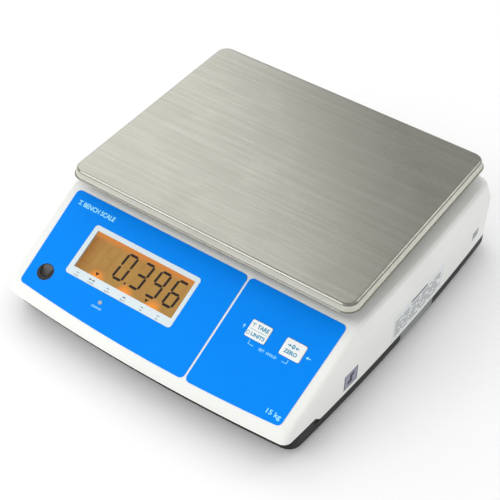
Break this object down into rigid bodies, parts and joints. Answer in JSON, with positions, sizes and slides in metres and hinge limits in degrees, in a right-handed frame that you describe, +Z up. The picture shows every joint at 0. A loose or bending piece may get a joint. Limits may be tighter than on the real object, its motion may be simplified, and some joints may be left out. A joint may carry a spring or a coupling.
{
  "type": "bench scale",
  "caption": "Electronic bench scale with a lift-off stainless platter, sloping display and key panel, load cell and levelling feet.",
  "frame": {"origin": "on the table under the feet, at the centre of the bounding box in plan", "axes": "+X is the operator's right, -Y is the front where the operator stands, +Z is up"},
  "size_m": [0.318, 0.334, 0.105],
  "materials": {
    "tray_plastic": "fine-textured moulded ABS",
    "cover_plastic": "satin off-white moulded ABS",
    "panel_film": "blue printed polyester film",
    "window_plastic": "clear acrylic",
    "mask_print": "white print on card",
    "lcd": "liquid-crystal glass lit amber",
    "backlight": "light guide",
    "board": "solder resist",
    "zinc_steel": "zinc plated",
    "black_plastic": "moulded nylon",
    "lamp": "diffused resin",
    "vial_glass": "vial with bubble",
    "milled_aluminium": "milled",
    "spacer_steel": "ground steel plate",
    "black_steel": "black-oxide steel",
    "cable_jacket": "grey jacket",
    "battery_case": "moulded case",
    "insert_brass": "turned",
    "cast_aluminium": "die cast",
    "cap_rubber": "moulded rubber",
    "platter_steel": "satin stainless sheet, pressed",
    "key_plastic": "white key cap with printed legend",
    "rocker_plastic": "red rocker",
    "pad_rubber": "moulded rubber",
    "stem_steel": "blackened steel stem with moulded wheel"
  },
  "bodies": {
    "housing": {"base_tray": "tray_plastic", "top_cover": "cover_plastic", "overlay_left": "panel_film", "overlay_right": "panel_film", "display_window": "window_plastic", "display_mask": "mask_print", "lcd_glass": "lcd", "lcd_backlight": "backlight", "main_board": "board", "board_screws": "zinc_steel", "key_switches": "black_plastic", "charge_lamp": "lamp", "level_case": "black_plastic", "level_vial": "vial_glass", "load_cell": "milled_aluminium", "cell_lower_spacer": "spacer_steel", "cell_lower_bolts": "black_steel", "overload_stops": "black_steel", "cell_cable": "cable_jacket", "battery": "battery_case", "cover_screws": "zinc_steel", "foot_inserts": "insert_brass", "dc_inlet": "black_plastic", "inlet_nut": "zinc_steel", "switch_frame": "black_plastic"},
    "spider": {"spider": "cast_aluminium", "spider_posts": "cast_aluminium", "cell_upper_spacer": "spacer_steel", "cell_upper_bolts": "black_steel", "post_caps": "cap_rubber"},
    "platter": {"platter": "platter_steel", "platter_cups": "black_plastic"},
    "tare_key": {"key_tare": "key_plastic"},
    "zero_key": {"key_zero": "key_plastic"},
    "power_rocker": {"power_rocker": "rocker_plastic"},
    "battery_door": {"battery_door": "tray_plastic"},
    "foot_fl_pad": {"foot_fl_pad": "pad_rubber"},
    "foot_fl_stem": {"foot_fl_stem": "stem_steel"},
    "foot_fr_pad": {"foot_fr_pad": "pad_rubber"},
    "foot_fr_stem": {"foot_fr_stem": "stem_steel"},
    "foot_bl_pad": {"foot_bl_pad": "pad_rubber"},
    "foot_bl_stem": {"foot_bl_stem": "stem_steel"},
    "foot_br_pad": {"foot_br_pad": "pad_rubber"},
    "foot_br_stem": {"foot_br_stem": "stem_steel"}
  },
  "joints": [
    {"name": "load_cell_flex", "type": "slide", "parent": "housing", "child": "spider", "axis": [0, 0, 1], "range_m": [-0.0005, 0], "stiffness_N_per_m": 350000, "springref_m": 0.0001, "deforming": ["load_cell"]},
    {"name": "platter_lift", "type": "slide", "parent": "spider", "child": "platter", "axis": [0, 0, 1], "range_m": [0, 0.06]},
    {"name": "tare_press", "type": "slide", "parent": "housing", "child": "tare_key", "axis": [0, 0.409, -0.9125], "range_m": [0, 0.0005], "stiffness_N_per_m": 3000},
    {"name": "zero_press", "type": "slide", "parent": "housing", "child": "zero_key", "axis": [0, 0.409, -0.9125], "range_m": [0, 0.0005], "stiffness_N_per_m": 3000},
    {"name": "power_rock", "type": "hinge", "parent": "housing", "child": "power_rocker", "pos_m": [0.112, -0.06, 0.0119], "axis": [0, -1, 0], "range_deg": [0, 14]},
    {"name": "battery_door_slide", "type": "slide", "parent": "housing", "child": "battery_door", "axis": [1, 0, 0], "range_m": [0, 0.008]},
    {"name": "foot_fl_lift", "type": "slide", "parent": "housing", "child": "foot_fl_pad", "axis": [0, 0, 1], "range_m": [-0.0045, 0.0018]},
    {"name": "foot_fl_turn", "type": "hinge", "parent": "foot_fl_pad", "child": "foot_fl_stem", "pos_m": [-0.13, -0.13, 0], "axis": [0, 0, 1], "range_deg": [-1150, 430]},
    {"name": "foot_fr_lift", "type": "slide", "parent": "housing", "child": "foot_fr_pad", "axis": [0, 0, 1], "range_m": [-0.0045, 0.0018]},
    {"name": "foot_fr_turn", "type": "hinge", "parent": "foot_fr_pad", "child": "foot_fr_stem", "pos_m": [0.13, -0.13, 0], "axis": [0, 0, 1], "range_deg": [-1150, 430]},
    {"name": "foot_bl_lift", "type": "slide", "parent": "housing", "child": "foot_bl_pad", "axis": [0, 0, 1], "range_m": [-0.0045, 0.0018]},
    {"name": "foot_bl_turn", "type": "hinge", "parent": "foot_bl_pad", "child": "foot_bl_stem", "pos_m": [-0.138, 0.142, 0], "axis": [0, 0, 1], "range_deg": [-1150, 430]},
    {"name": "foot_br_lift", "type": "slide", "parent": "housing", "child": "foot_br_pad", "axis": [0, 0, 1], "range_m": [-0.0045, 0.0018]},
    {"name": "foot_br_turn", "type": "hinge", "parent": "foot_br_pad", "child": "foot_br_stem", "pos_m": [0.138, 0.142, 0], "axis": [0, 0, 1], "range_deg": [-1150, 430]}
  ],
  "couplings": [
    {"joint": "foot_fl_lift", "follows": "foot_fl_turn", "m_per_rad": 0.00019894},
    {"joint": "foot_fr_lift", "follows": "foot_fr_turn", "m_per_rad": 0.00019894},
    {"joint": "foot_bl_lift", "follows": "foot_bl_turn", "m_per_rad": 0.00019894},
    {"joint": "foot_br_lift", "follows": "foot_br_turn", "m_per_rad": 0.00019894}
  ]
}
